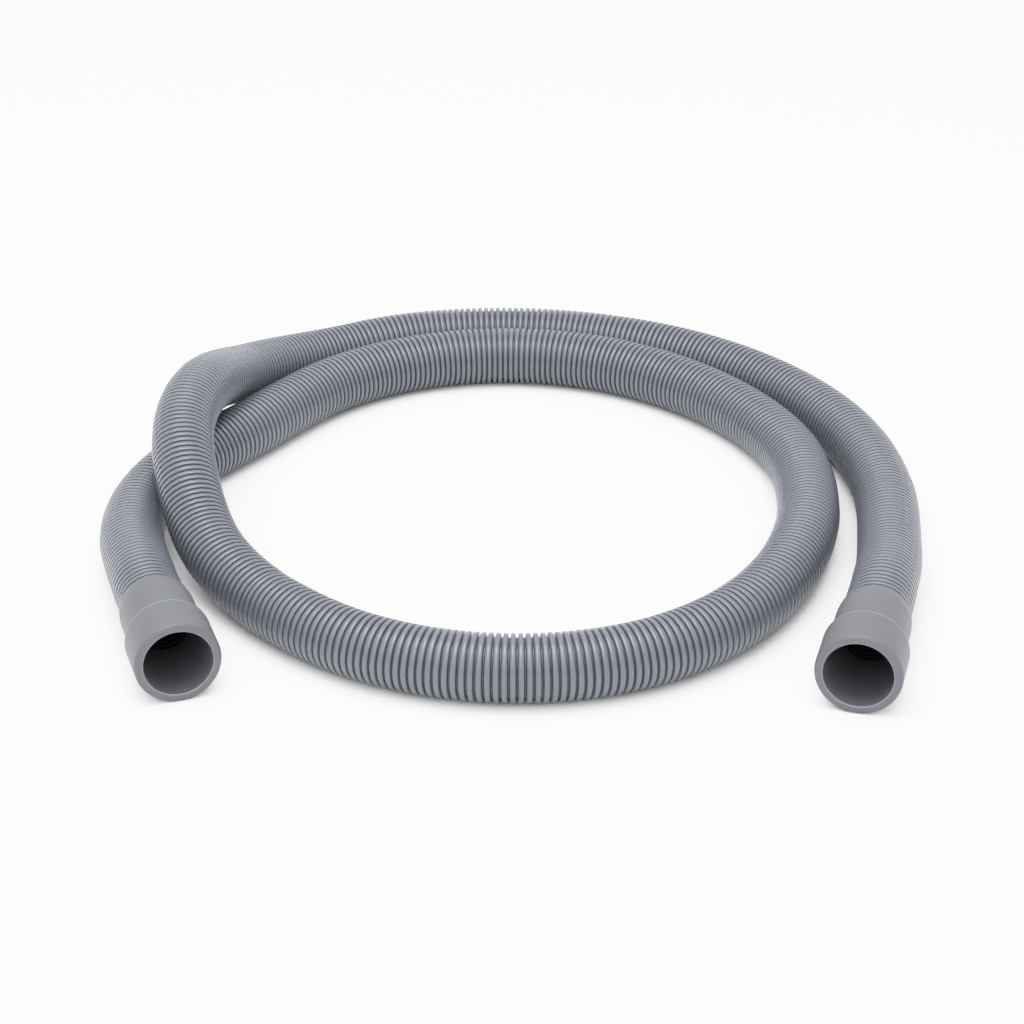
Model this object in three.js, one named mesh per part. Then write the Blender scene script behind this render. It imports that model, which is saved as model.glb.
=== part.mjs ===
// Corrugated drain hose for a washing machine: one length of ribbed PVC hose with a moulded
// cuff pushed over each end. It lies on the floor in one and a half turns, and both mouths
// face the front. Millimetres, +Z up, origin on the floor in the middle of the coil.

import * as THREE from "three";

// Hose. Its wall is taken from the ribs' crests outside to their troughs inside.
const HOSE_OUTER_DIAMETER = 28;
const HOSE_WALL = 3;
const HOSE_SIDES = 12;
const HOSE_STEP_LENGTH = 22;

// The hose is drawn in lengths, end to end: a short straight one in each cuff, and equal ones
// between them
const HOSE_LENGTHS = [
  "left_hose_end",
  "left_hose_length",
  "ring_hose_length",
  "right_hose_length",
  "right_hose_end",
];
const STRAIGHT_LENGTH = 20.2;

// Cuff: a thin sleeve grips the hose, and a thicker collar makes the socket at the mouth. Inside,
// the socket funnels down to the hose's bore, behind a stop that the hose's end meets.
const SOCKET_DIAMETER = 28;
const SOCKET_DEPTH = 26;
const FUNNEL_LENGTH = 5;
const STOP_THICKNESS = 1.5;
const COLLAR_WALL = 3.6;
const COLLAR_LENGTH = 21.7;
const SLEEVE_WALL = 1.2;
const SLEEVE_GRIP = 16.2;
const CUFF_SEGMENTS = 48;

// Edges of the cuff
const RIM_OUTER_ROUNDING = 1.4;
const RIM_INNER_ROUNDING = 0.5;
const COLLAR_STEP_ROUNDING = 0.8;
const SLEEVE_LIP_LENGTH = 8;
const SLEEVE_LIP_WALL = 0.3;
const ROUNDING_POINTS = 4;

// Gaps between the hose and the cuff that it is pushed into, and between its lengths
const GRIP_CLEARANCE = 0.35;
const END_GAP = 0.3;
const LENGTH_GAP = 0.3;

// Where each mouth's centre lies on the floor plan, and its turn from straight ahead
const LEFT_MOUTH = { x: -132.3, y: -172.2, turn: 18.8 };
const RIGHT_MOUTH = { x: 134.1, y: -181.5, turn: -15.8 };

// The hose's run from the left cuff to the right one: x, y and the lift off the floor.
// It goes once round the ring, and then over its own start at the left rear in a long low hump.
const HOSE_RUN = [
  [-167, -61, 1.1],
  [-167, -23, 0],
  [-155, 13, 0],
  [-129, 52, 0],
  [-91, 106, 0],
  [-47, 136, 0],
  [3, 144, 0],
  [54, 129, 0],
  [100, 89, 0],
  [129, 31, 0],
  [132, -30, 0],
  [118, -84, 0],
  [93, -126, 0],
  [60, -154, 0],
  [20, -168, 0],
  [-23, -167, 0],
  [-65, -150, 0],
  [-102, -117, 0],
  [-132, -74, 6.8],
  [-149, -15, 24.7],
  [-147, 41, 27.4],
  [-130, 101, 10.5],
  [-97, 142, 0.9],
  [-46, 168, 0],
  [18, 171, 0],
  [80, 149, 0],
  [128, 107, 0],
  [158, 52, 0],
  [168, -9, 0],
  [162, -74, 1.1],
];

const hoseRadius = HOSE_OUTER_DIAMETER / 2;
const hoseBoreRadius = hoseRadius - HOSE_WALL;
const socketRadius = SOCKET_DIAMETER / 2;
const collarRadius = socketRadius + COLLAR_WALL;
const gripRadius = hoseRadius + GRIP_CLEARANCE;
const sleeveRadius = gripRadius + SLEEVE_WALL;
const throatDepth = SOCKET_DEPTH + FUNNEL_LENGTH;
const stopDepth = throatDepth + STOP_THICKNESS;
const hoseEndDepth = stopDepth + END_GAP;
const cuffLength = hoseEndDepth + SLEEVE_GRIP;

const cuffPlastic = new THREE.MeshStandardMaterial({ color: 0x919396, roughness: 0.5, metalness: 0 });
const hosePlastic = new THREE.MeshStandardMaterial({ color: 0x8b9099, roughness: 0.45, metalness: 0 });

// A smooth curve through the run's points that never sinks below the floor
class HoseRun extends THREE.Curve {
  constructor(points) {
    super();
    this.spline = new THREE.CatmullRomCurve3(points, false, "catmullrom", 0.5);
    this.arcLengthDivisions = 20 * points.length;
  }

  getPoint(t, target = new THREE.Vector3()) {
    this.spline.getPoint(t, target);
    target.z = Math.max(target.z, hoseRadius);
    return target;
  }
}

// The stretch of the run between two distances along it
class HoseStretch extends THREE.Curve {
  constructor(run, start, end) {
    super();
    this.run = run;
    this.start = start / run.getLength();
    this.end = end / run.getLength();
  }

  getPoint(t, target = new THREE.Vector3()) {
    return this.run.getPointAt(THREE.MathUtils.lerp(this.start, this.end, t), target);
  }
}

// The unit vector that points straight out of a mouth
function outwards(mouth) {
  const turn = THREE.MathUtils.degToRad(mouth.turn);
  return new THREE.Vector3(Math.sin(turn), -Math.cos(turn), 0);
}

// A point on a cuff's axis, so far in from its mouth; the collar's rim rests on the floor
function insideMouth(mouth, depth) {
  const centre = new THREE.Vector3(mouth.x, mouth.y, collarRadius);
  return centre.addScaledVector(outwards(mouth), -depth);
}

// The end of the run that a cuff holds straight, from the hose's cut end backwards
function straightEnd(mouth) {
  const depths = [0, 1, 2].map((step) => hoseEndDepth + step * STRAIGHT_LENGTH);
  return depths.map((depth) => insideMouth(mouth, depth));
}

function makeHose() {
  const lying = HOSE_RUN.map(([x, y, lift]) => new THREE.Vector3(x, y, hoseRadius + lift));
  const points = [...straightEnd(LEFT_MOUTH), ...lying, ...straightEnd(RIGHT_MOUTH).reverse()];
  const run = new HoseRun(points);

  const total = run.getLength();
  const middleCount = HOSE_LENGTHS.length - 2;
  const middleLength = (total - 2 * STRAIGHT_LENGTH) / middleCount;
  return HOSE_LENGTHS.map((name, i) => {
    const start = i === 0 ? 0 : STRAIGHT_LENGTH + (i - 1) * middleLength + LENGTH_GAP / 2;
    const end = i > middleCount ? total : STRAIGHT_LENGTH + i * middleLength - LENGTH_GAP / 2;
    return makeHoseLength(name, run, start, end);
  });
}

function makeHoseLength(name, run, start, end) {
  const section = new THREE.Shape(polygon(hoseRadius));
  section.holes.push(new THREE.Path(polygon(hoseBoreRadius)));
  const geometry = new THREE.ExtrudeGeometry(section, {
    steps: Math.ceil((end - start) / HOSE_STEP_LENGTH),
    extrudePath: new HoseStretch(run, start, end),
  });
  const piece = new THREE.Mesh(geometry, hosePlastic);
  piece.name = name;
  return piece;
}

function polygon(radius) {
  return Array.from({ length: HOSE_SIDES }, (_, side) => {
    const angle = (side / HOSE_SIDES) * 2 * Math.PI;
    return new THREE.Vector2(radius * Math.cos(angle), radius * Math.sin(angle));
  });
}

// Points of a rounded edge about a centre, from one angle to another in quarter turns
function rounding(centreRadius, centreHeight, size, fromQuarter, toQuarter) {
  return Array.from({ length: ROUNDING_POINTS + 1 }, (_, i) => {
    const angle = (fromQuarter + ((toQuarter - fromQuarter) * i) / ROUNDING_POINTS) * (Math.PI / 2);
    return new THREE.Vector2(centreRadius + size * Math.cos(angle), centreHeight + size * Math.sin(angle));
  });
}

// The cuff's section in the half plane of radius and height, with the mouth's face at height 0
function cuffSection() {
  const rim = rounding(collarRadius - RIM_OUTER_ROUNDING, -RIM_OUTER_ROUNDING, RIM_OUTER_ROUNDING, 0, 1);
  const mouthEdge = rounding(socketRadius + RIM_INNER_ROUNDING, -RIM_INNER_ROUNDING, RIM_INNER_ROUNDING, 1, 2);
  const step = rounding(
    collarRadius - COLLAR_STEP_ROUNDING,
    COLLAR_STEP_ROUNDING - COLLAR_LENGTH,
    COLLAR_STEP_ROUNDING,
    -1,
    0,
  );
  const section = [
    new THREE.Vector2(gripRadius, -cuffLength),
    new THREE.Vector2(gripRadius + SLEEVE_LIP_WALL, -cuffLength),
    new THREE.Vector2(sleeveRadius, SLEEVE_LIP_LENGTH - cuffLength),
    new THREE.Vector2(sleeveRadius, -COLLAR_LENGTH),
    ...step,
    ...rim,
    ...mouthEdge,
    new THREE.Vector2(socketRadius, -SOCKET_DEPTH),
    new THREE.Vector2(hoseBoreRadius, -throatDepth),
    new THREE.Vector2(hoseBoreRadius, -stopDepth),
    new THREE.Vector2(gripRadius, -stopDepth),
  ];
  return [...section, section[0].clone()];
}

function makeCuff(name, mouth) {
  const cuff = new THREE.Mesh(new THREE.LatheGeometry(cuffSection(), CUFF_SEGMENTS), cuffPlastic);
  cuff.name = name;
  cuff.position.copy(insideMouth(mouth, 0));
  cuff.rotation.z = Math.PI + THREE.MathUtils.degToRad(mouth.turn);
  return cuff;
}

const drainHose = new THREE.Group();
drainHose.add(...makeHose(), makeCuff("left_end_cuff", LEFT_MOUTH), makeCuff("right_end_cuff", RIGHT_MOUTH));

export default drainHose;
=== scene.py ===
"""A corrugated PVC drain hose with two moulded end cuffs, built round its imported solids."""

import math

import bpy
import numpy as np
from bpy.props import FloatProperty, IntProperty, PointerProperty, StringProperty
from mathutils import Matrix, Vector


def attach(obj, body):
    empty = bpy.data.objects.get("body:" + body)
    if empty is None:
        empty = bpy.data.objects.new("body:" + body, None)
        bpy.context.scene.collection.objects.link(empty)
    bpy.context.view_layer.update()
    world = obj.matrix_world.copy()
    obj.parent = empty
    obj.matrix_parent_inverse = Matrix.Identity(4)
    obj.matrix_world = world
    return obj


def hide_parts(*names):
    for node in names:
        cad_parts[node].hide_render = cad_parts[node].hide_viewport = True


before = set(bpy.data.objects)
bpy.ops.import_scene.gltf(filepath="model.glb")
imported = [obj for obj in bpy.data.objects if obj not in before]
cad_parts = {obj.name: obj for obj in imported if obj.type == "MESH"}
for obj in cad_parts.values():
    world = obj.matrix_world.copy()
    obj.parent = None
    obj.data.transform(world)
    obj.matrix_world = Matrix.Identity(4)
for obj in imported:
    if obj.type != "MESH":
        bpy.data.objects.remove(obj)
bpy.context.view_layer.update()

bl_info = {
    "name": "Corrugated drain hose",
    "version": (1, 0, 0),
    "blender": (4, 5, 0),
    "location": "3D View > Sidebar > Drain hose",
    "description": "A ribbed PVC drain hose, its two moulded end cuffs and a plain studio stage",
    "category": "Add Mesh",
}

MM = 0.001
BODY = "root"
UP = np.array([0.0, 0.0, 1.0])

# Where each mouth's centre lies on the floor plan in millimetres, and its turn from straight
# ahead in degrees. The cuff and the end of the hose inside it follow these.
LEFT_MOUTH = (-132.3, -172.2, 18.8)
RIGHT_MOUTH = (134.1, -181.5, -15.8)

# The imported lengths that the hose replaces, and each moulded cuff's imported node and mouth
HOSE_NODES = [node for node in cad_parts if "hose" in node]
CUFF_MOUTHS = {
    "left_cuff_moulded": ("left_end_cuff", LEFT_MOUTH),
    "right_cuff_moulded": ("right_end_cuff", RIGHT_MOUTH),
}

# How far apart the three points lie that each cuff holds in line
STRAIGHT_STEP = 20.2 * MM

# The hose's run from the left cuff to the right one: x, y and the lift off the floor, in
# millimetres. It goes once round the ring, and then over its own start at the left rear in a
# long low hump.
HOSE_RUN = [
    (-167, -61, 1.1),
    (-167, -23, 0),
    (-155, 13, 0),
    (-129, 52, 0),
    (-91, 106, 0),
    (-47, 136, 0),
    (3, 144, 0),
    (54, 129, 0),
    (100, 89, 0),
    (129, 31, 0),
    (132, -30, 0),
    (118, -84, 0),
    (93, -126, 0),
    (60, -154, 0),
    (20, -168, 0),
    (-23, -167, 0),
    (-65, -150, 0),
    (-102, -117, 0),
    (-132, -74, 6.8),
    (-149, -15, 24.7),
    (-147, 41, 27.4),
    (-130, 101, 10.5),
    (-97, 142, 0.9),
    (-46, 168, 0),
    (18, 171, 0),
    (80, 149, 0),
    (128, 107, 0),
    (158, 52, 0),
    (168, -9, 0),
    (162, -74, 1.1),
]

# Points of the hose's smooth line from one point of its run to the next
SAMPLES_PER_POINT = 60

# One rib from a groove's middle to the next: share of the spacing, and share of the height
RIB_PROFILE = [
    (0.0, 0.15),
    (0.12, 0.0),
    (0.17, 0.85),
    (0.22, 1.0),
    (0.78, 1.0),
    (0.83, 0.85),
    (0.88, 0.0),
]

# The bore is ribbed as far in as the mouths show it, more faintly than the outside, and plain
# beyond, with its rings further apart
RIBBED_BORE_LENGTH = 36 * MM
BORE_RIB_SHARE = 0.3
PLAIN_BORE_STEP = 16 * MM

# Edges of the cuff. The sleeve swells from a thin lip over the hose to its full wall.
CUFF_SIDES = 96
RIM_OUTER_ROUNDING = 1.7 * MM
RIM_INNER_ROUNDING = 0.5 * MM
STEP_ROUNDING = 0.7 * MM
STEP_FILLET = 0.5 * MM
LIP_WALL = 0.3 * MM
LIP_EDGE_WIDTH = 0.1 * MM
LIP_EDGE_LENGTH = 0.15 * MM
SWELL_LENGTH = 8 * MM
SWELL_SHARES = (0.15, 0.3, 0.5, 0.75, 1.0)
STRAIGHT_BEFORE_STEP = 5 * MM

# How strongly each of the two painted highlights along the rounded edges of the step and the mouth
# shows, and how far it fades out
STEP_HIGHLIGHT_STRENGTH = 0.7
STEP_HIGHLIGHT_FADE = 0.8 * MM
MOUTH_HIGHLIGHT_STRENGTH = 0.5
MOUTH_HIGHLIGHT_FADE = 0.4 * MM

# Where painted shade starts to darken the cuff's bore, as a share of the socket's depth
BORE_FADE_START = 0.75

# PVC's index of refraction, and the roughness of the bores, which are dusty
PVC_IOR = 1.53
BORE_ROUGHNESS = 0.9

# Sizes of the surfaces' patterns in millimetres. The real grain of the moulds' steel is about a
# tenth of a millimetre, too fine to show, so it is drawn coarser.
HOSE_CLOUD = 40
HOSE_GRAIN = 0.9
CUFF_CLOUD = 14
CUFF_GRAIN = 0.5

# The place on the floor that the camera looks at and how far it sees, in metres, and the width
# of its sensor in millimetres
CAMERA_TARGET = (-1 * MM, -6 * MM, 0.0)
CAMERA_REACH = 20.0
SENSOR_WIDTH_MM = 36.0

# Each soft light's place and its width and depth, in metres, and its power in watts. All face
# the frame's origin.
SOFTBOXES = {
    "overhead_softbox": ((-0.1, -0.2, 1.3), (1.1, 0.8), 19.0),
    "front_softbox": ((-0.25, -1.2, 1.3), (1.4, 1.0), 9.0),
}

# Half the floor's width in metres
FLOOR_HALF = 6.0

# The surround's glow at the horizon and overhead. It stops growing where a direction of length
# one rises this much.
HORIZON_GLOW = 1.45
ZENITH_GLOW = 1.8
ZENITH_RISE = 0.9

# How the picture's tones follow the light: straight up to the middle greys, then a soft shoulder,
# so that the white floor fades into its shadows instead of clipping
TONE_SHOULDER = [
    (0.0, 0.0),
    (0.3, 0.3),
    (0.5, 0.5),
    (0.75, 0.7),
    (1.1, 0.84),
    (1.7, 0.94),
    (2.6, 0.985),
    (4.0, 1.0),
]

# Which of the four curves of a curve mapping acts on all the channels
ALL_CHANNELS_CURVE = 3


def length(name, description, default_mm):
    """A length that a user sets, kept in metres and given here in millimetres."""
    return FloatProperty(
        name=name,
        description=description,
        default=default_mm * MM,
        min=0.0,
        unit="LENGTH",
        precision=5,
    )


def colour(name, description, default):
    """A colour that a user sets, as an sRGB hex value."""
    description += ", as an sRGB hex value"
    return StringProperty(name=name, description=description, default=default)


class HoseSizes(bpy.types.PropertyGroup):
    outer_diameter: length("Outer diameter", "Across the crests of the ribs", 28.0)
    rib_spacing: length("Rib spacing", "From one crest to the next along the hose", 3.05)
    rib_height: length("Rib height", "From the groove's corners to the crest", 1.9)
    wall: length("Wall", "Thickness of the blown wall", 0.7)
    sides: IntProperty(
        name="Sides",
        description="Points round each ring of the mesh",
        default=22,
        min=8,
    )
    crest_colour: colour("Crest colour", "The hose's colour on its crests", "52555D")
    # The groove colour is painted shade, darker than the crests, for the shade that falls into the
    # grooves
    groove_shade_colour: colour("Groove colour", "The colour on the grooves' floors", "30333B")
    # The bore colour is painted shade, for the dark inside of the hose
    bore_shade_colour: colour("Bore colour", "The dull colour of the bore's wall", "0E0F11")


class CuffSizes(bpy.types.PropertyGroup):
    socket_diameter: length("Socket diameter", "Bore of the mouth, which takes the spigot", 28.0)
    socket_depth: length("Socket depth", "Straight part of the bore, from the mouth's face", 26.0)
    funnel_length: length("Funnel length", "Where the socket narrows to the hose's bore", 5.0)
    throat_diameter: length("Throat diameter", "Narrowest bore, which matches the hose's", 22.0)
    throat_length: length("Throat length", "Thickness of the stop that the hose's end meets", 1.5)
    collar_wall: length("Collar wall", "Thickness of the wall at the mouth", 3.6)
    collar_length: length("Collar length", "From the mouth's face to the step", 21.7)
    sleeve_wall: length("Sleeve wall", "Thickness of the sleeve over the hose", 1.2)
    sleeve_grip: length("Sleeve grip", "How far the hose goes into the sleeve", 16.2)
    grip_clearance: length("Grip clearance", "Gap between the sleeve and the hose's crests", 0.35)
    end_gap: length("End gap", "Gap between the hose's end and its stop", 0.3)
    body_colour: colour("Body colour", "The cuffs' colour", "4C4E53")
    # The edge colour is a painted highlight along the rounded edges of the step and the mouth
    edge_highlight_colour: colour("Edge colour", "The paler colour along the mould's joint lines", "8E9196")
    # The bore colour is painted shade, for the dark depths of the cuff's bore
    bore_shade_colour: colour("Bore colour", "The dull colour past the socket", "1C1D20")


class StageSettings(bpy.types.PropertyGroup):
    camera_distance: length("Camera distance", "From the camera to the middle of the coil", 1077.0)
    camera_pitch: FloatProperty(
        name="Camera pitch",
        description="How steeply the camera looks down",
        default=math.radians(27.0),
        subtype="ANGLE",
    )
    lens: FloatProperty(
        name="Lens",
        description="Focal length on a 36 mm sensor, in millimetres",
        default=82.2,
    )
    floor_colour: colour("Floor colour", "The floor", "F4F4F4")


class DrainHoseSettings(bpy.types.PropertyGroup):
    hose: PointerProperty(type=HoseSizes)
    cuff: PointerProperty(type=CuffSizes)
    stage: PointerProperty(type=StageSettings)


# Colours and materials


def linear(hex_colour):
    """A linear RGBA colour from an sRGB hex value."""
    channels = [int(hex_colour[i : i + 2], 16) / 255 for i in (0, 2, 4)]
    return [c / 12.92 if c <= 0.04045 else ((c + 0.055) / 1.055) ** 2.4 for c in channels] + [1.0]


def new_material(name):
    """A material with its nodes cleared, but for a shader wired to the output."""
    material = bpy.data.materials.new(name)
    material.use_nodes = True
    tree = material.node_tree
    tree.nodes.clear()
    output = tree.nodes.new("ShaderNodeOutputMaterial")
    shader = tree.nodes.new("ShaderNodeBsdfPrincipled")
    tree.links.new(shader.outputs["BSDF"], output.inputs["Surface"])
    return material, tree, shader


def add_node(tree, kind, settings=None, inputs=None):
    """Adds a node, sets its properties, and sets or links its inputs."""
    node = tree.nodes.new(kind)
    for name, value in (settings or {}).items():
        setattr(node, name, value)
    for name, value in (inputs or {}).items():
        if isinstance(value, bpy.types.NodeSocket):
            tree.links.new(value, node.inputs[name])
        else:
            node.inputs[name].default_value = value
    return node


def per_metre(size_mm):
    """A texture scale whose features are about this many millimetres across."""
    return 1 / (size_mm * MM)


def mottled(tree, surface_colour, cloud, darkest, lightest):
    """A colour that drifts a little darker and lighter with a cloudy pattern."""
    shade = add_node(
        tree,
        "ShaderNodeMapRange",
        None,
        {"Value": cloud.outputs["Fac"], "To Min": darkest, "To Max": lightest},
    )
    tone = add_node(
        tree,
        "ShaderNodeHueSaturation",
        None,
        {"Color": surface_colour, "Value": shade.outputs["Result"]},
    )
    return tone.outputs["Color"]


def fade_into_bore(tree, shader, surface_colour, roughness, bore_shade_colour):
    """Wires a surface's colour and roughness to its shader: darkened with painted shade and dull
    where its points are bore.
    """
    bore = add_node(tree, "ShaderNodeAttribute", {"attribute_name": "bore"}).outputs["Fac"]
    dark = add_node(
        tree,
        "ShaderNodeMix",
        {"data_type": "RGBA"},
        {"Factor": bore, "A": surface_colour, "B": linear(bore_shade_colour)},
    )
    dusty = add_node(
        tree,
        "ShaderNodeMix",
        None,
        {"Factor": bore, "A": roughness, "B": BORE_ROUGHNESS},
    )
    tree.links.new(dark.outputs["Result"], shader.inputs["Base Color"])
    tree.links.new(dusty.outputs["Result"], shader.inputs["Roughness"])


def corrugated_pvc(sizes):
    """Blow-moulded flexible PVC: satin, with a soft sheen on each crest and grooves darkened with
    painted shade.
    """
    material, tree, shader = new_material("corrugated_pvc_blow_moulded")
    shader.inputs["IOR"].default_value = PVC_IOR
    place = add_node(tree, "ShaderNodeTexCoord").outputs["Object"]
    cloud = add_node(
        tree,
        "ShaderNodeTexNoise",
        None,
        {"Vector": place, "Scale": per_metre(HOSE_CLOUD), "Detail": 3.0},
    )
    grain = add_node(
        tree,
        "ShaderNodeTexNoise",
        None,
        {"Vector": place, "Scale": per_metre(HOSE_GRAIN), "Detail": 2.0},
    )

    # From the crests' colour to the grooves' painted shade, and the whole faintly uneven
    depth = add_node(tree, "ShaderNodeAttribute", {"attribute_name": "groove_depth"})
    ribbed = add_node(
        tree,
        "ShaderNodeMix",
        {"data_type": "RGBA"},
        {
            "Factor": depth.outputs["Fac"],
            "A": linear(sizes.crest_colour),
            "B": linear(sizes.groove_shade_colour),
        },
    )
    tone = mottled(tree, ribbed.outputs["Result"], cloud, darkest=0.93, lightest=1.07)

    # Satin, broken up by a fine grain
    gloss = add_node(
        tree,
        "ShaderNodeMapRange",
        None,
        {"Value": grain.outputs["Fac"], "To Min": 0.27, "To Max": 0.37},
    )
    # Painted shade darkens the bore, which is also made rough
    fade_into_bore(tree, shader, tone, gloss.outputs["Result"], sizes.bore_shade_colour)
    bump = add_node(
        tree,
        "ShaderNodeBump",
        None,
        {"Height": grain.outputs["Fac"], "Strength": 0.12, "Distance": 0.05 * MM},
    )
    tree.links.new(bump.outputs["Normal"], shader.inputs["Normal"])
    return material


def moulded_soft_pvc(sizes):
    """Injection-moulded soft PVC: smooth and matt, with a fine grain from the mould's steel."""
    material, tree, shader = new_material("soft_pvc_injection_moulded")
    shader.inputs["IOR"].default_value = PVC_IOR
    place = add_node(tree, "ShaderNodeTexCoord").outputs["Object"]
    cloud = add_node(
        tree,
        "ShaderNodeTexNoise",
        None,
        {"Vector": place, "Scale": per_metre(CUFF_CLOUD), "Detail": 4.0},
    )
    grain = add_node(
        tree,
        "ShaderNodeTexNoise",
        None,
        {"Vector": place, "Scale": per_metre(CUFF_GRAIN), "Detail": 2.0},
    )

    # Paler with painted highlights along the rounded edges of the step and the mouth, and the whole
    # faintly uneven
    highlight = add_node(tree, "ShaderNodeAttribute", {"attribute_name": "edge_highlight"})
    edged = add_node(
        tree,
        "ShaderNodeMix",
        {"data_type": "RGBA"},
        {
            "Factor": highlight.outputs["Fac"],
            "A": linear(sizes.body_colour),
            "B": linear(sizes.edge_highlight_colour),
        },
    )
    tone = mottled(tree, edged.outputs["Result"], cloud, darkest=0.95, lightest=1.05)

    # Matt, with patches that are slightly smoother, and a fine grain
    gloss = add_node(
        tree,
        "ShaderNodeMapRange",
        None,
        {"Value": cloud.outputs["Fac"], "To Min": 0.5, "To Max": 0.6},
    )
    # Painted shade darkens the bore, which is also made rough
    fade_into_bore(tree, shader, tone, gloss.outputs["Result"], sizes.bore_shade_colour)
    bump = add_node(
        tree,
        "ShaderNodeBump",
        None,
        {"Height": grain.outputs["Fac"], "Strength": 0.15, "Distance": 0.04 * MM},
    )
    tree.links.new(bump.outputs["Normal"], shader.inputs["Normal"])
    return material


# The places of the mouths and the run between them, in metres


def outwards(mouth):
    """The unit vector that points straight out of a mouth."""
    turn = math.radians(mouth[2])
    return np.array([math.sin(turn), -math.cos(turn), 0.0])


def collar_radius(cuff):
    """The collar's outer radius, which is also how high the mouth's centre lies."""
    return cuff.socket_diameter / 2 + cuff.collar_wall


def hose_end_depth(cuff):
    """How far in from the mouth's face the hose's cut end lies."""
    return cuff.socket_depth + cuff.funnel_length + cuff.throat_length + cuff.end_gap


def inside_mouth(mouth, cuff, depth):
    """A point on a cuff's axis, so far in from its mouth. The collar's rim rests on the floor."""
    centre = np.array([mouth[0] * MM, mouth[1] * MM, collar_radius(cuff)])
    return centre - depth * outwards(mouth)


def straight_end(mouth, cuff):
    """The three points of the run that a cuff holds straight, from the hose's cut end back."""
    return [inside_mouth(mouth, cuff, hose_end_depth(cuff) + STRAIGHT_STEP * i) for i in range(3)]


def hose_centreline(hose, cuff):
    """The hose's smooth line through its points, sampled closely, never below the floor."""
    radius = hose.outer_diameter / 2
    lying = [(x * MM, y * MM, radius + lift * MM) for x, y, lift in HOSE_RUN]
    right_end = straight_end(RIGHT_MOUTH, cuff)[::-1]
    points = np.array([*straight_end(LEFT_MOUTH, cuff), *lying, *right_end])
    before = 2 * points[0] - points[1]
    after = 2 * points[-1] - points[-2]
    p = np.vstack([before, points, after])
    t = np.linspace(0, 1, SAMPLES_PER_POINT, endpoint=False)[None, :, None]
    p0, p1, p2, p3 = (p[i : len(p) - 3 + i, None] for i in range(4))
    spline = 0.5 * (
        2 * p1
        + (p2 - p0) * t
        + (2 * p0 - 5 * p1 + 4 * p2 - p3) * t**2
        + (3 * p1 - p0 - 3 * p2 + p3) * t**3
    )
    line = np.vstack([spline.reshape(-1, 3), points[-1]])
    line[:, 2] = np.maximum(line[:, 2], radius)
    return line


def distance_along(line):
    """How far along a line each of its points lies."""
    return np.concatenate([[0.0], np.cumsum(np.linalg.norm(np.diff(line, axis=0), axis=1))])


# Skins made of rings of points


def unit(vectors):
    """Vectors of length one that point the same ways."""
    return vectors / np.linalg.norm(vectors, axis=-1, keepdims=True)


def ring_points(centres, radii, start, quarter, sides):
    """Rings of points about their centres, from the start direction round by the quarter one."""
    angles = (np.arange(sides) / sides * 2 * math.pi)[:, None]
    spokes = np.cos(angles) * start[..., None, :] + np.sin(angles) * quarter[..., None, :]
    return (centres[:, None] + radii[:, None, None] * spokes).reshape(-1, 3)


def skin_rings(ring_count, sides):
    """The quads of a closed skin, from each ring to the next and from the last to the first."""
    ring = np.arange(ring_count)[:, None]
    side = np.arange(sides)[None, :]
    here = ring * sides
    there = ((ring + 1) % ring_count) * sides
    onward = (side + 1) % sides
    corners = [here + side, here + onward, there + onward, there + side]
    return np.stack(corners, axis=-1).reshape(-1, 4)


def mesh_object(name, points, quads, material):
    """A smooth-shaded mesh object from an array of points and an array of quads."""
    mesh = bpy.data.meshes.new(name)
    mesh.from_pydata(points.tolist(), [], quads.tolist())
    mesh.polygons.foreach_set("use_smooth", np.ones(len(quads), bool))
    mesh.materials.append(material)
    mesh.update()
    piece = bpy.data.objects.new(name, mesh)
    bpy.context.scene.collection.objects.link(piece)
    return piece


def paint_rings(piece, name, values, sides):
    """Keeps one value for each ring of points as a named attribute, which a material reads."""
    attribute = piece.data.attributes.new(name, "FLOAT", "POINT")
    attribute.data.foreach_set("value", np.repeat(values, sides).astype(np.float32))


# The hose


def rib_stations(hose, total):
    """Distances along the hose and radii of its outer skin, rib by rib."""
    count = int(total / hose.rib_spacing)
    spacing = total / count
    crest = hose.outer_diameter / 2
    stations = [
        ((rib + share) * spacing, crest - hose.rib_height * (1 - rise))
        for rib in range(count)
        for share, rise in RIB_PROFILE
    ]
    return stations + [(total, crest - hose.rib_height)]


def bore_stations(hose, outer, total):
    """The inner skin, from the far end back: ribbed where the mouths show it, plain between."""
    trough = hose.outer_diameter / 2 - hose.rib_height
    plain = trough - hose.wall
    ribbed = [(along, plain + BORE_RIB_SHARE * (radius - trough)) for along, radius in outer]
    near = [(along, radius) for along, radius in ribbed if along < RIBBED_BORE_LENGTH]
    far = [(along, radius) for along, radius in ribbed if along > total - RIBBED_BORE_LENGTH]
    first = near[-1][0] + hose.rib_spacing
    last = far[0][0] - hose.rib_spacing
    between = [(along, plain) for along in np.arange(first, last, PLAIN_BORE_STEP)]
    return (near + between + far)[::-1]


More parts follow.
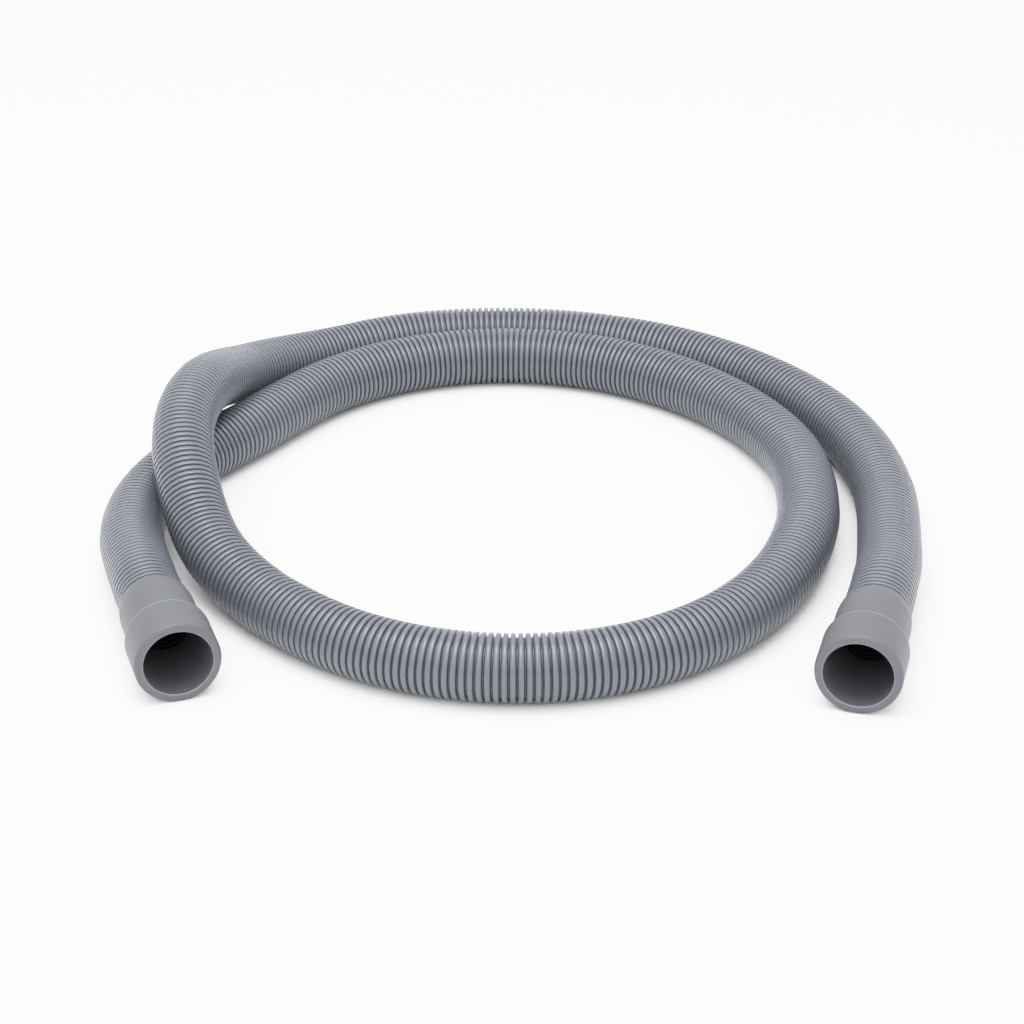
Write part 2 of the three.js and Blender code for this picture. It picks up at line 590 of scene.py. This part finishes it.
def make_corrugated_hose(hose, cuff):
    """The hose as one closed skin, out along its ribs and back through its bore."""
    line = hose_centreline(hose, cuff)
    along = distance_along(line)
    total = along[-1]
    outer = rib_stations(hose, total)
    stations = np.array(outer + bore_stations(hose, outer, total))
    places, radii = stations.T

    def at_stations(values):
        return np.stack([np.interp(places, along, column) for column in values.T], axis=-1)

    tangents = unit(at_stations(np.gradient(line, along, axis=0)))
    sideways = unit(np.cross(tangents, UP))
    upward = np.cross(sideways, tangents)
    points = ring_points(at_stations(line), radii, sideways, upward, hose.sides)
    quads = skin_rings(len(stations), hose.sides)
    piece = mesh_object("corrugated_hose_ribbed", points, quads, corrugated_pvc(hose))

    # Painted shade in the grooves: darkest at the ribs' feet, a little lighter on the grooves'
    # floors, none on the crests
    depth = np.clip((hose.outer_diameter / 2 - radii) / hose.rib_height, 0, 1)
    paint_rings(piece, "groove_depth", np.sqrt(depth), hose.sides)
    # The whole bore is darkened with painted shade
    paint_rings(piece, "bore", np.arange(len(stations)) >= len(outer), hose.sides)
    return piece, line, total


# The cuff


def rounded_edge(centre, size, from_quarter, to_quarter, count):
    """Points of a rounded edge about a centre, from one angle to another in quarter turns."""
    angles = np.linspace(from_quarter, to_quarter, count) * math.pi / 2
    return [(centre[0] + size * math.cos(a), centre[1] + size * math.sin(a)) for a in angles]


def cuff_profile(hose, cuff):
    """The cuff's section as radius and height, with the mouth's face at height 0."""
    socket = cuff.socket_diameter / 2
    collar = collar_radius(cuff)
    grip = hose.outer_diameter / 2 + cuff.grip_clearance
    lip = grip + LIP_WALL
    sleeve = grip + cuff.sleeve_wall
    throat = cuff.throat_diameter / 2
    step = -cuff.collar_length
    funnel = -cuff.socket_depth - cuff.funnel_length
    stop = -hose_end_depth(cuff) + cuff.end_gap
    back = -hose_end_depth(cuff) - cuff.sleeve_grip

    # Outside, from the sleeve's lip to the rim
    profile = [(grip, back), (lip - LIP_EDGE_WIDTH, back), (lip, back + LIP_EDGE_LENGTH)]
    profile += [
        (lip + (sleeve - lip) * math.sin(share * math.pi / 2), back + SWELL_LENGTH * share)
        for share in SWELL_SHARES
    ]
    profile += [(sleeve, step - STRAIGHT_BEFORE_STEP)]
    profile += rounded_edge((sleeve + STEP_FILLET, step - STEP_FILLET), STEP_FILLET, 2, 1, count=5)
    corner = (collar - STEP_ROUNDING, step + STEP_ROUNDING)
    profile += rounded_edge(corner, STEP_ROUNDING, -1, 0, count=6)
    profile += [(collar, step + 2 * STEP_HIGHLIGHT_FADE), (collar, step / 2)]
    corner = (collar - RIM_OUTER_ROUNDING, -RIM_OUTER_ROUNDING)
    profile += rounded_edge(corner, RIM_OUTER_ROUNDING, 0, 1, count=8)

    # Inside, from the mouth to the stop that the hose's end meets
    corner = (socket + RIM_INNER_ROUNDING, -RIM_INNER_ROUNDING)
    profile += rounded_edge(corner, RIM_INNER_ROUNDING, 1, 2, count=5)
    profile += [(socket, -cuff.socket_depth * share) for share in (0.25, 0.5, 0.75, 1.0)]
    profile += [(throat, funnel), (throat, stop), (grip, stop)]
    return np.array(profile)


def highlight_strength(profile, middle, strength, fade):
    """How strongly each point of the section shows a painted highlight, fading out from its middle.
    """
    return np.maximum(strength * (1 - np.linalg.norm(profile - middle, axis=1) / fade), 0)


def edge_highlights(profile, cuff):
    """The painted highlights, which run along the rounded edges of the step and the mouth."""
    step_inset = STEP_ROUNDING * (1 - math.cos(math.pi / 4))
    mouth_inset = RIM_INNER_ROUNDING * (1 - math.cos(math.pi / 4))
    step = [collar_radius(cuff) - step_inset, step_inset - cuff.collar_length]
    mouth = [cuff.socket_diameter / 2 + mouth_inset, -mouth_inset]
    return np.maximum(
        highlight_strength(profile, step, STEP_HIGHLIGHT_STRENGTH, STEP_HIGHLIGHT_FADE),
        highlight_strength(profile, mouth, MOUTH_HIGHLIGHT_STRENGTH, MOUTH_HIGHLIGHT_FADE),
    )


def painted_bore_shade(profile, cuff):
    """How strongly painted shade darkens each point of the section: from late in the socket to the
    throat.
    """
    start = BORE_FADE_START * cuff.socket_depth
    end = cuff.socket_depth + cuff.funnel_length
    inside = profile[:, 0] < cuff.socket_diameter / 2 + RIM_INNER_ROUNDING
    return np.where(inside, np.clip((-profile[:, 1] - start) / (end - start), 0, 1), 0)


def make_cuff(name, mouth, hose, cuff, material):
    """A cuff turned about its axis as one closed skin."""
    profile = cuff_profile(hose, cuff)
    out = outwards(mouth)
    centres = inside_mouth(mouth, cuff, 0.0) + profile[:, 1, None] * out
    points = ring_points(centres, profile[:, 0], UP, np.cross(out, UP), CUFF_SIDES)
    piece = mesh_object(name, points, skin_rings(len(profile), CUFF_SIDES), material)
    # Painted highlights along the rounded edges of the step and the mouth
    paint_rings(piece, "edge_highlight", edge_highlights(profile, cuff), CUFF_SIDES)
    # Painted shade darkens the bore from late in the socket to the throat
    paint_rings(piece, "bore", painted_bore_shade(profile, cuff), CUFF_SIDES)
    return piece


# The stage


def make_softbox(name, place, size, power):
    """A soft rectangular light that faces the coil and isn't seen itself."""
    data = bpy.data.lights.new(name, "AREA")
    data.shape = "RECTANGLE"
    data.size, data.size_y = size
    data.energy = power
    softbox = bpy.data.objects.new(name, data)
    bpy.context.scene.collection.objects.link(softbox)
    softbox.location = place
    softbox.rotation_euler = (-Vector(place)).to_track_quat("-Z", "Y").to_euler()
    softbox.visible_camera = False


def make_camera(stage):
    """The camera, which stands straight in front of the coil and looks down at it."""
    data = bpy.data.cameras.new("photo_camera")
    data.sensor_width = SENSOR_WIDTH_MM
    data.lens = stage.lens
    data.clip_end = CAMERA_REACH
    camera = bpy.data.objects.new("photo_camera", data)
    bpy.context.scene.collection.objects.link(camera)
    back = Vector((0.0, -math.cos(stage.camera_pitch), math.sin(stage.camera_pitch)))
    camera.location = Vector(CAMERA_TARGET) + stage.camera_distance * back
    camera.rotation_euler = (-back).to_track_quat("-Z", "Y").to_euler()
    bpy.context.scene.camera = camera


def make_floor(stage):
    """The floor that the hose lies on: matt white paper, with almost no sheen."""
    material, _, shader = new_material("matt_white_paper_sweep")
    shader.inputs["Base Color"].default_value = linear(stage.floor_colour)
    shader.inputs["Roughness"].default_value = 0.9
    shader.inputs["Specular IOR Level"].default_value = 0.1
    corners = np.array([(-1, -1, 0), (1, -1, 0), (1, 1, 0), (-1, 1, 0)]) * FLOOR_HALF
    floor = mesh_object("studio_floor", corners, np.array([[0, 1, 2, 3]]), material)


def make_surround():
    """The studio's white surround, brighter overhead than at the horizon."""
    world = bpy.data.worlds.new("studio_surround")
    world.use_nodes = True
    tree = world.node_tree
    direction = add_node(tree, "ShaderNodeTexCoord").outputs["Generated"]
    height = add_node(tree, "ShaderNodeSeparateXYZ", None, {"Vector": direction}).outputs["Z"]
    glow = add_node(
        tree,
        "ShaderNodeMapRange",
        None,
        {
            "Value": height,
            "From Min": 0.0,
            "From Max": ZENITH_RISE,
            "To Min": HORIZON_GLOW,
            "To Max": ZENITH_GLOW,
        },
    )
    background = tree.nodes["Background"]
    background.inputs["Color"].default_value = (1.0, 1.0, 1.0, 1.0)
    tree.links.new(glow.outputs["Result"], background.inputs["Strength"])
    return world


def soften_highlights(view):
    """Gives the picture a plain transform with a soft shoulder on its pale tones."""
    view.view_transform = "Standard"
    view.use_curve_mapping = True
    mapping = view.curve_mapping
    mapping.clip_max_x = TONE_SHOULDER[-1][0]
    curve = mapping.curves[ALL_CHANNELS_CURVE]
    curve.points[0].location = TONE_SHOULDER[0]
    curve.points[1].location = TONE_SHOULDER[-1]
    for light, tone in TONE_SHOULDER[1:-1]:
        curve.points.new(light, tone)
    mapping.update()


# Operators, one for each group of like pieces and one for the stage


class DRAINHOSE_OT_stage(bpy.types.Operator):
    """Adds the camera, the floor and the soft studio lights"""

    bl_idname = "drain_hose.stage"
    bl_label = "Add stage"

    def execute(self, context):
        stage = context.scene.drain_hose.stage
        make_camera(stage)
        make_floor(stage)
        context.scene.world = make_surround()
        soften_highlights(context.scene.view_settings)
        for name, (place, size, power) in SOFTBOXES.items():
            make_softbox(name, place, size, power)
        return {"FINISHED"}


class DRAINHOSE_OT_hose(bpy.types.Operator):
    """Adds the ribbed hose along its run"""

    bl_idname = "drain_hose.hose"
    bl_label = "Add hose"

    def execute(self, context):
        settings = context.scene.drain_hose
        piece, line, total = make_corrugated_hose(settings.hose, settings.cuff)
        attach(piece, BODY)
        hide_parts(*HOSE_NODES)
        return {"FINISHED"}


class DRAINHOSE_OT_cuffs(bpy.types.Operator):
    """Adds the two moulded cuffs over the hose's ends"""

    bl_idname = "drain_hose.cuffs"
    bl_label = "Add cuffs"

    def execute(self, context):
        settings = context.scene.drain_hose
        material = moulded_soft_pvc(settings.cuff)
        for name, (node, mouth) in CUFF_MOUTHS.items():
            piece = make_cuff(name, mouth, settings.hose, settings.cuff, material)
            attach(piece, BODY)
            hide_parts(node)
        return {"FINISHED"}


class DRAINHOSE_PT_panel(bpy.types.Panel):
    bl_idname = "DRAINHOSE_PT_panel"
    bl_label = "Drain hose"
    bl_space_type = "VIEW_3D"
    bl_region_type = "UI"
    bl_category = "Drain hose"

    def draw(self, context):
        settings = context.scene.drain_hose
        for title, group, operator in (
            ("Stage", settings.stage, DRAINHOSE_OT_stage),
            ("Hose", settings.hose, DRAINHOSE_OT_hose),
            ("Cuffs", settings.cuff, DRAINHOSE_OT_cuffs),
        ):
            box = self.layout.box()
            box.label(text=title)
            for name in group.__annotations__:
                box.prop(group, name)
            box.operator(operator.bl_idname)


CLASSES = (
    HoseSizes,
    CuffSizes,
    StageSettings,
    DrainHoseSettings,
    DRAINHOSE_OT_stage,
    DRAINHOSE_OT_hose,
    DRAINHOSE_OT_cuffs,
    DRAINHOSE_PT_panel,
)


def register():
    for cls in CLASSES:
        bpy.utils.register_class(cls)
    bpy.types.Scene.drain_hose = PointerProperty(type=DrainHoseSettings)


def unregister():
    del bpy.types.Scene.drain_hose
    for cls in reversed(CLASSES):
        bpy.utils.unregister_class(cls)


def main():
    register()
    bpy.ops.drain_hose.stage()
    bpy.ops.drain_hose.cuffs()
    bpy.ops.drain_hose.hose()


if __name__ == "__main__":
    main()
